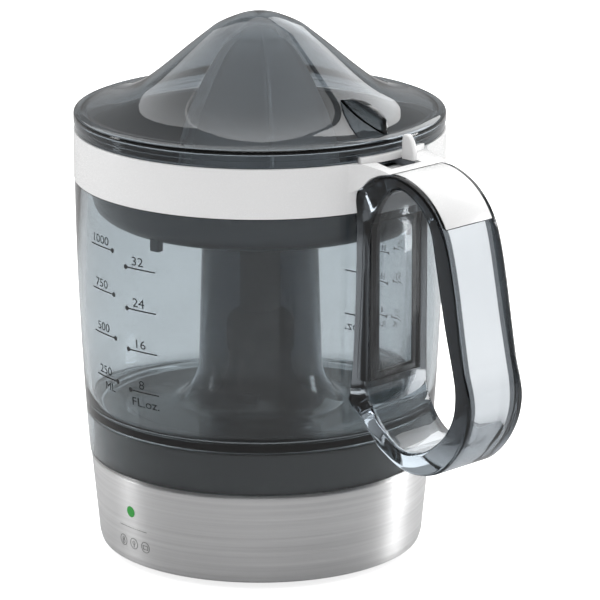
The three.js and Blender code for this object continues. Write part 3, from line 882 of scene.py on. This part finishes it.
class JUICER_OT_strainer(MakingStep, bpy.types.Operator):
    """Spin the strainer bowl and cut its juice slots; shape the white lip that fills the lid's notch"""
    bl_idname = "juicer.strainer"
    bl_label = "Strainer"

    def make(self, sizes, looks):
        bowl = turned("strainer_basket", eased([
            (73.3, 175.25, 0.5), (73.3, 172.8, 0.4), (70.5, 172.8, 0.3), (69.8, 160), (69.3, 151, 6),
            (67.4, 143.6, 9),
            (61.5, 138.9, 9), (54, 138.05, 4), (11.1, 138.05, 0.5), (11.1, 165.9, 0.3), (13.1, 165.9, 0.6),
            (13.1, 140.1, 1.5), (54, 140.1, 4), (60.5, 140.9, 8), (65.3, 145, 8), (67.2, 151.6, 6), (68.3, 170),
            (68.3, 175.25, 0.4)]), 144)
        slot = block("slot", (26, -1.5, 130), (50, 1.5, 150))
        edit_all(slot)
        bpy.ops.mesh.select_all(action="DESELECT")
        rest()
        for e in slot.data.edges:
            a, b = (slot.data.vertices[i].co for i in e.vertices)
            e.select = abs(a.z - b.z) > 0.01
        pick(slot)
        bpy.ops.object.mode_set(mode="EDIT")
        bpy.ops.mesh.bevel(offset=1.4 * MM, segments=4, affect="EDGES")
        rest()
        carve(bowl, round_the_axis(slot, 16, 4.25))
        carve(bowl, block("window", (60, WINDOW[0], 171.4), (84, WINDOW[1], 185)))
        for a in (35, 155, 275):
            lug = block("lug", (60.5, -2.2, 135.6), (63.5, 2.2, 141), 0.4)
            lug.matrix_world = Matrix.Rotation(math.radians(a), 4, "Z")
            settle(lug)
            carve(bowl, lug, "UNION")
        done(tidy(bowl), "strainer", "grey_plastic", FINISHES["basket"], "strainer_basket", angle=35)

        lip = sheet_cut("lever_guide", wedge_outline(NOTCH, 73.9, 76.4, 14), 168.8, 177.3, "Z")
        carve(lip, block("window", (60, WINDOW[0], 171.4), (84, WINDOW[1], 174.4)))
        soften(lip, 0.35, 3)
        done(lip, "strainer", "white_plastic", FINISHES["white"], "lever_guide")


class JUICER_OT_pulp_dial(MakingStep, bpy.types.Operator):
    """Spin the pulp ring with its slots, and shape the white lever at the handle"""
    bl_idname = "juicer.pulp_dial"
    bl_label = "Pulp dial"

    def make(self, sizes, looks):
        ring = turned("pulp_ring", eased([
            (14, 140.4, 0.3), (56, 140.4, 4), (61, 142, 5), (64.6, 147, 5), (65.9, 151.6, 0.4),
            (64.4, 151.6, 0.4),
            (63, 147.4, 4), (60, 143.5, 4), (55.6, 141.9, 3), (14, 141.9, 0.4)]), 120)
        slot = block("slot", (26, -1.5, 136), (50, 1.5, 146), 0.3)
        carve(ring, round_the_axis(slot, 16, 4.25))
        carve(ring, block("upright", (63.7, 1.6, 147), (65.6, 4.4, 174.0), 0.4), "UNION")
        carve(ring, block("arm", (63.7, 1.6, 171.8), (82.2, 4.4, 174.0), 0.4), "UNION")
        done(tidy(ring), "pulp_dial", "grey_plastic", FINISHES["basket"], "pulp_ring")
        side = eased([(77.2, 174.3), (83.6, 174.3), (83.4, 177.4, 6), (82.5, 181.2, 8), (80.4, 184.3, 1.8),
                      (77.8, 184.2, 1.0), (77.2, 181)], turn=8)
        lever = sheet_cut("pulp_lever", side, 1.6, 4.4)
        soften(lever, 0.55, 4, 45)
        done(lever, "pulp_dial", "white_plastic", FINISHES["white"], "pulp_lever")


class JUICER_OT_jug(MakingStep, bpy.types.Operator):
    """Spin the clear jug with its central tube, in one moulding"""
    bl_idname = "juicer.jug"
    bl_label = "Jug"

    def make(self, sizes, looks):
        outside = [(jug_radius(z), z) for z in JUG_LEVELS]
        outside = [(outside[0][0] - 0.5, 40.9), (outside[0][0], 41.4)] + outside[1:]
        inside = eased([(71.1, 101), (70.75, 90), (70.2, 79), (69.7, 70), (68.9, 61, 5), (60, 61)], False)
        tube = flowing([(38, 61), (35, 61.4), (32.3, 63), (29.9, 65.8), (27.2, 70), (25.6, 75), (25.0, 81)], 4)
        bore = flowing([(23.0, 81), (23.5, 75), (25.0, 70.2), (27.6, 65.9), (30.2, 62.2), (33, 59.6),
                        (36, 58.8)], 4)
        profile = (outside + eased([(74.9, 154.9), (73.4, 154.9), (73.4, 172.4, 0.6), (71.1, 172.4, 0.5),
                                    (71.1, 101)],
                                   False)[1:-1]
                   + inside[:-1] + tube
                   + eased([(25, 81), (23.6, 135.4, 0.8), (21.6, 135.4, 0.8), (23, 81)], False)[1:-1]
                   + bore + eased([(36, 58.8), (69.0, 58.8, 1.2), (68.0, 40.9, 0.4), (69.7, 40.9)],
                                  False)[1:-1])
        jug = turned("jug_body", profile, 160)
        carve(jug, block("window", (60, WINDOW[0], 171.4), (84, WINDOW[1], 185)))
        done(tidy(jug), "jug", "clear_plastic", FINISHES["jug"], "jug_body", "jug_floor", angle=35)


class JUICER_OT_handle(MakingStep, bpy.types.Operator):
    """Build the smoked loop handle against the jug, with its pocket and the recess for the white tongue"""
    bl_idname = "juicer.handle"
    bl_label = "Handle"

    def make(self, sizes, looks):
        loop = handle_solid(sizes)
        pocket = block("pocket", (60, -14.4, 86.2), (75.4, 14.4, 152), 1.2)
        carve(loop, pocket)
        carve(loop, jug_envelope("envelope", 0.3))
        above = turned("collar room", [(0, 154.9), (75.5, 154.9), (75.5, 190), (0, 190)], 128, closed=False)
        carve(loop, above)
        carve(loop, sheet_cut("recess", tongue_outline(0.25), -TONGUE_HALF - 0.25, TONGUE_HALF + 0.25))
        done(tidy(loop), "jug", "clear_plastic", FINISHES["handle"], "jug_handle", angle=35)

        # Black strips along the pocket's sides and sill: painted shade, a dark piece put where the clear pocket
        # looks dark.
        pocket_shade_piece = block("pocket_shade", (73.5, -14.1, 86.6), (75.36, 14.1, 89.4), 0.2)
        for side in (-1, 1):
            low, high = sorted((side * 9.4, side * 14.1))
            carve(pocket_shade_piece, block("column", (75.0, low, 89.0), (75.36, high, 151.4)), "UNION")
        done(tidy(pocket_shade_piece), "jug", "black_plastic", FINISHES["black"])


class JUICER_OT_collar(MakingStep, bpy.types.Operator):
    """Make the white collar with its saddle, the slot for the lever and the tongue over the handle"""
    bl_idname = "juicer.collar"
    bl_label = "Collar"

    def make(self, sizes, looks):
        edge = sizes.body_radius / MM
        collar = turned("jug_collar", eased([(73.7, 155.2, 0.3), (edge, 155.2, 0.35), (edge, 175.2, 0.5),
                                             (73.7, 175.2, 0.4)]), 160)
        arch = flowing(HANDLE_OUTSIDE[5:8], 4)
        saddle = sheet_cut("saddle", [(68, 175.1), (75, 175.1), (77, 174.9), (80, 174.4), (84, 173.8),
                                      (87.9, 172.9)]
                           + [(x, z + 0.3) for x, z in reversed(arch)] + [(74.2, 165), (68, 162)], -26, 26)
        flank = flowing([(69.8, -25.8), (71.7, -22.6), (73.5, -20), (76, -18.2), (80, -17.1), (84, -16.4),
                         (90, -15.7)], 5)
        carve(saddle, sheet_cut("plan", flank + [(x, -y) for x, y in reversed(flank)], 150, 190, "Z"),
              "INTERSECT")
        tongue = sheet_cut("tongue", tongue_outline(), -TONGUE_HALF, TONGUE_HALF)
        top = flowing(HANDLE_OUTSIDE[5:15], 4)
        carve(tongue, sheet_cut("crest", [(70, 150), (70, 166)] + top + [(110, 150)], -20, 20), "INTERSECT")
        soften(tongue, 0.3, 2, 50)
        carve(saddle, turned("inner", [(0, 150), (74.4, 150), (74.4, 190), (0, 190)], 160, closed=False))
        carve(collar, saddle, "UNION")
        carve(collar, tongue, "UNION")
        carve(collar, sheet_cut("lip room", wedge_outline(NOTCH + 0.005, 70, 76.7), 168.5, 190, "Z"))
        carve(collar, block("window", (60, WINDOW[0], 171.4), (84.3, WINDOW[1], 190)))
        soften(tidy(collar), 0.3, 2, 60)
        done(collar, "jug", "white_plastic", FINISHES["white"], "jug_collar", angle=30)


class JUICER_OT_base(MakingStep, bpy.types.Operator):
    """Spin the dark deck with its drive tower, the steel band and the underside"""
    bl_idname = "juicer.base"
    bl_label = "Motor base"

    def make(self, sizes, looks):
        deck = turned("base_deck", eased([
            (4.7, 98.7, 0.3), (8.6, 98.7, 1.5), (13.8, 95.4, 4), (13.8, 84.2, 2.5), (12.4, 81.4, 2),
            (13.0, 74, 8),
            (16.2, 65.6, 9), (22, 59.6, 6), (28, 58.2, 6), (40, 58.2), (54, 58.2, 0.3), (54.5, 57.7, 0.3),
            (56, 57.7, 0.3), (56.5, 58.2, 0.3), (67, 58.2, 2.4), (67, 41.4), (66.6, 31, 0.4), (64.8, 31, 0.4),
            (64.8, 55.6, 2), (26, 55.6, 4),
            (19, 58.6, 4), (14.4, 63.6, 4), (10.8, 72, 4), (10, 80), (6.9, 82), (6.9, 96.6), (4.7, 96.6)]), 144)
        for a in (-62, 118):
            lug = block("lug", (12, -4.5, 58), (18.6, 4.5, 67.5), 0.9)
            lug.matrix_world = Matrix.Rotation(math.radians(a), 4, "Z")
            carve(deck, settle(lug), "UNION")
        done(tidy(deck), "base", "black_plastic", FINISHES["deck"], "base_deck", angle=35)

        band = turned("steel_band", eased([
            (63, 2.35, 0.3), (65.6, 3.2, 1.6), (*BAND_FOOT, 2), (*BAND_TOP, 0.5), (68.3, 40.5, 0.4),
            (67.35, 40.5),
            (67.35, 39.5), (68.2, 38.6), (65.2, 7), (64.4, 4.9, 0.8), (62.8, 3.6)]), 180)
        carve(band, rear_rod("hole", 4.4, 55, 75))
        done(tidy(band), "base", "steel_shell", FINISHES["steel"], "steel_band", angle=30)

        cover = turned("bottom_cover", eased([
            (0, 1.0), (17.4, 1.0, 0.5), (18, 2.5, 0.6), (30, 2.5), (30.4, 2.9), (32, 2.9), (32.4, 2.5),
            (56, 2.5),
            (56.4, 2.9), (58, 2.9), (58.4, 2.5), (62.2, 2.5, 0.5), (62.2, 4.7, 0.4), (4.2, 4.7),
            (4.2, 8.7, 0.3), (0, 8.7)], False),
            120, closed=False)
        vent = block("vent", (36, -0.9, 0), (52, 0.9, 8), 0.3)
        carve(cover, round_the_axis(vent, 24, 7.5))
        for i in range(4):
            a = math.radians(90 * i)
            carve(cover, peg("well", 3.9, 1.5, 4.0, (50 * math.cos(a), 50 * math.sin(a))))
            carve(cover, peg("well", 1.6, 1.5, 6.0, (50 * math.cos(a), 50 * math.sin(a))))
        done(tidy(cover), "base", "black_plastic", FINISHES["cover"], "bottom_cover", angle=35)

        for i in range(4):
            a = math.radians(45 + 90 * i)
            foot = turned(f"foot_{i + 1}", eased([(0, 0.25), (2.6, 0.25, 0.3), (3.2, 0.0, 0.3), (4.7, 0.0, 0.5),
                                                  (5, 2.2, 0.3), (0, 2.2)], False), 48, closed=False)
            foot.location = (0.052 * math.cos(a), 0.052 * math.sin(a), 0)
            done(settle(foot), "base", "rubber", FINISHES["rubber"], f"foot_{i + 1}")

        gland = turned("cord_grommet", eased([
            (2.4, 60, 0.3), (4.1, 60, 0.4), (4.1, 68.3), (6.2, 68.3, 0.4), (6.2, 69.6, 0.6), (3.6, 70.2, 0.5),
            (2.4, 70.2, 0.3)]), 48)
        gland.matrix_world = REAR_INLET
        done(settle(gland), "base", "rubber", FINISHES["rubber"], "cord_grommet")


def peg(name, r, low, high, at=(0, 0), sides=32):
    rest()
    bpy.ops.mesh.primitive_cylinder_add(vertices=sides, radius=r * MM, depth=(high - low) * MM,
                                        location=(at[0] * MM, at[1] * MM, (low + high) / 2 * MM))
    return settle(named(name))


def rear_rod(name, r, low, high):
    piece = peg(name, r, low, high)
    piece.matrix_world = REAR_INLET
    return settle(piece)


class JUICER_OT_marks(MakingStep, bpy.types.Operator):
    """Print the two volume scales on the jug and the small signs on the steel band"""
    bl_idname = "juicer.marks"
    bl_label = "Printed marks"

    def make(self, sizes, looks):
        scale_marks("front_scale", FINISHES["ink"], 0)
        scale_marks("rear_scale", FINISHES["ink"], 183)

        def band(z):
            return BAND_FOOT[0] + (BAND_TOP[0] - BAND_FOOT[0]) * (z - BAND_FOOT[1]) / 33.0

        green = arc_marks("front_dot", [dot(-94.5, 26, 2.35, unit=68.3)], band, 0.05)
        done(green, "base", "steel_shell", FINISHES["green"])
        signs = [tick(-101.5, -87.2, 18.9, 0.16)]
        for a in (-100.3, -94.3, -88.4):
            signs.append(dot(a, 12.2, 2.35, 2.15, unit=67.1))
        signs += [dot(-100.3, 12.9, 0.62, 0.45, 16, 67.1), dot(-100.3, 11.5, 0.85, 0.66, 16, 67.1),
                  dot(-94.3, 12.6, 0.8, 0.62, 16, 67.1), tick(-94.4, -94.2, 11.2, 1.2),
                  tick(-89.6, -87.2, 11.3, 0.2), tick(-89.4, -87.4, 12.9, 0.2), tick(-89.6, -89.4, 12.1, 1.6),
                  tick(-87.4, -87.2, 12.1, 1.6)]
        done(arc_marks("front_signs", signs, band, 0.05), "base", "steel_shell", FINISHES["grey_ink"])


class JUICER_OT_works(MakingStep, bpy.types.Operator):
    """Give the motor, gears, screws and spindle their finishes"""
    bl_idname = "juicer.works"
    bl_label = "Motor and gears"

    def make(self, sizes, looks):
        looks_of = {
            "bright": ["cover_screw", "chassis_plate", "stator_core", "rotor_shaft", "idler_pin", "lower_bush",
                       "upper_bush", "spindle_shaft", "return_spring"],
            "copper": ["coil"],
            "nylon": ["plate_post", "stator_post", "idler_gear", "drive_gear", "switch_button"],
            "black": ["rotor_magnet", "switch_body"],
        }
        for finish, stems in looks_of.items():
            for node in frame["nodes"]:
                if any(node.startswith(stem) for stem in stems):
                    piece = bpy.data.objects[node]
                    for slot in piece.material_slots:
                        slot.material = FINISHES[finish]
                    if not piece.material_slots:
                        piece.data.materials.append(FINISHES[finish])


class JUICER_OT_stage(MakingStep, bpy.types.Operator):
    """Lay the pale floor, hang the soft lights and set up the camera"""
    bl_idname = "juicer.stage"
    bl_label = "Stage"

    def make(self, sizes, looks):
        rest()
        bpy.ops.mesh.primitive_plane_add(size=12)
        floor = named("floor")
        edit_all(floor)
        bpy.ops.mesh.subdivide(number_cuts=3)
        rest()
        r = Recipe("pale floor")
        path = r.add("ShaderNodeLightPath")
        r.tint(r.noise(3), (0.92, 0.92, 0.92), (0.95, 0.95, 0.95))
        plain = r.shader.inputs["Base Color"].links[0].from_socket
        dimmed = r.add("ShaderNodeMix")
        dimmed.data_type = "RGBA"
        dimmed.inputs[7].default_value = (0.43, 0.43, 0.43, 1)
        mirrored = r.math("MULTIPLY", path.outputs["Is Glossy Ray"], r.step(path.outputs["Is Transmission Ray"],
                                                                            1, 0))
        r.link(mirrored, dimmed.inputs[0])
        r.link(plain, dimmed.inputs[6])
        r.link(dimmed.outputs[2], r.shader.inputs["Base Color"])
        glow = r.add("ShaderNodeMapRange")
        glow.inputs["To Min"].default_value = 0.0
        glow.inputs["To Max"].default_value = 0.8
        r.link(path.outputs["Is Camera Ray"], glow.inputs["Value"])
        r.link(r.math("MULTIPLY", glow.outputs[0], r.step(mirrored, 1.12, 0.0)),
               r.shader.inputs["Emission Strength"])
        r.constant(Roughness=0.9, Emission_Color=(1, 1, 1, 1))
        r.shader.inputs["Specular IOR Level"].default_value = 0.1
        floor.data.materials.append(r.material)

        world = bpy.data.worlds.new("soft room")
        bpy.context.scene.world = world
        world.use_nodes = True
        tree = world.node_tree
        sky = tree.nodes["Background"]
        around = tree.nodes.new("ShaderNodeTexCoord")
        facing = tree.nodes.new("ShaderNodeVectorMath")
        facing.operation = "DOT_PRODUCT"
        facing.inputs[1].default_value = (-0.713, 0.701, 0.0)
        ramp = tree.nodes.new("ShaderNodeValToRGB")
        span = tree.nodes.new("ShaderNodeMapRange")
        span.inputs["From Min"].default_value = -1.0
        tree.links.new(around.outputs["Generated"], facing.inputs[0])
        tree.links.new(facing.outputs["Value"], span.inputs["Value"])
        tree.links.new(span.outputs[0], ramp.inputs[0])
        tree.links.new(ramp.outputs[0], sky.inputs["Color"])
        stops = ramp.color_ramp.elements
        stops[0].position, stops[0].color = 0.0, (0.42, 0.42, 0.43, 1)
        stops[1].position, stops[1].color = 0.78, (1.0, 1.0, 1.0, 1)
        middle = stops.new(0.45)
        middle.color = (0.5, 0.5, 0.51, 1)
        path = tree.nodes.new("ShaderNodeLightPath")
        power = tree.nodes.new("ShaderNodeMapRange")
        power.inputs["To Min"].default_value = 1.0
        power.inputs["To Max"].default_value = 0.38
        mirrored = tree.nodes.new("ShaderNodeMath")
        mirrored.operation, mirrored.use_clamp = "SUBTRACT", True
        tree.links.new(path.outputs["Is Glossy Ray"], mirrored.inputs[0])
        tree.links.new(path.outputs["Is Transmission Ray"], mirrored.inputs[1])
        tree.links.new(mirrored.outputs[0], power.inputs["Value"])
        tree.links.new(power.outputs[0], sky.inputs["Strength"])

        for name, place, aim, size, power in (
                ("soft left", (-1.2, 0.0, 1.1), (0, 0, 0.19), (1.0, 0.9), 3.4),
                ("soft right", (-0.15, 1.3, 1.05), (0, 0, 0.19), (1.2, 0.9), 8.0),
                ("strip left", (-1.25, -1.0, 0.35), (0, 0, 0.05), (0.2, 0.7), 2.0),
                ("strip right", (0.75, 1.25, 0.3), (0, 0, 0.05), (0.3, 0.7), 6.0),
                ("top", (0.0, 0.0, 1.9), (0, 0, 0), (2.6, 2.6), 27)):
            rest()
            bpy.ops.object.light_add(type="AREA", location=place)
            lamp = bpy.context.object
            lamp.name = name
            lamp.data.shape = "RECTANGLE"
            lamp.data.size, lamp.data.size_y = size
            lamp.data.energy = power
            lamp.rotation_euler = (Vector(aim) - Vector(place)).to_track_quat("-Z", "Y").to_euler()

        place, aim = Vector((1.1552, -1.1352, 0.5557)), Vector((0.01135, 0.01155, 0.102))
        bpy.ops.object.camera_add(location=place)
        camera = bpy.context.object
        camera.name = "camera"
        camera.data.lens = 247.37
        camera.data.sensor_width = 36
        camera.rotation_euler = (aim - place).to_track_quat("-Z", "Y").to_euler()
        bpy.context.scene.camera = camera
        bpy.context.scene.view_settings.view_transform = "Standard"


class JUICER_PT_panel(bpy.types.Panel):
    """Sizes, colours and the making steps"""
    bl_idname = "JUICER_PT_panel"
    bl_label = "Citrus press juicer"
    bl_space_type = "VIEW_3D"
    bl_region_type = "UI"
    bl_category = "Juicer"

    def draw(self, context):
        for group in (context.scene.juicer_sizes, context.scene.juicer_looks):
            box = self.layout.box()
            for key in group.__annotations__:
                box.prop(group, key)
        column = self.layout.column(align=True)
        for step in STEPS:
            column.operator(step.bl_idname)


STEPS = (JUICER_OT_finishes, JUICER_OT_stage, JUICER_OT_base, JUICER_OT_works, JUICER_OT_jug, JUICER_OT_handle,
         JUICER_OT_collar, JUICER_OT_strainer, JUICER_OT_pulp_dial, JUICER_OT_reamer, JUICER_OT_lid,
         JUICER_OT_marks)
CLASSES = (JuicerSizes, JuicerLooks, *STEPS, JUICER_PT_panel)


def register():
    for kind in CLASSES:
        bpy.utils.register_class(kind)
    bpy.types.Scene.juicer_sizes = bpy.props.PointerProperty(type=JuicerSizes)
    bpy.types.Scene.juicer_looks = bpy.props.PointerProperty(type=JuicerLooks)


def unregister():
    del bpy.types.Scene.juicer_sizes, bpy.types.Scene.juicer_looks
    for kind in reversed(CLASSES):
        bpy.utils.unregister_class(kind)


def main():
    register()
    for step in STEPS:
        getattr(bpy.ops.juicer, step.bl_idname.split(".")[1])()


if __name__ == "__main__":
    main()
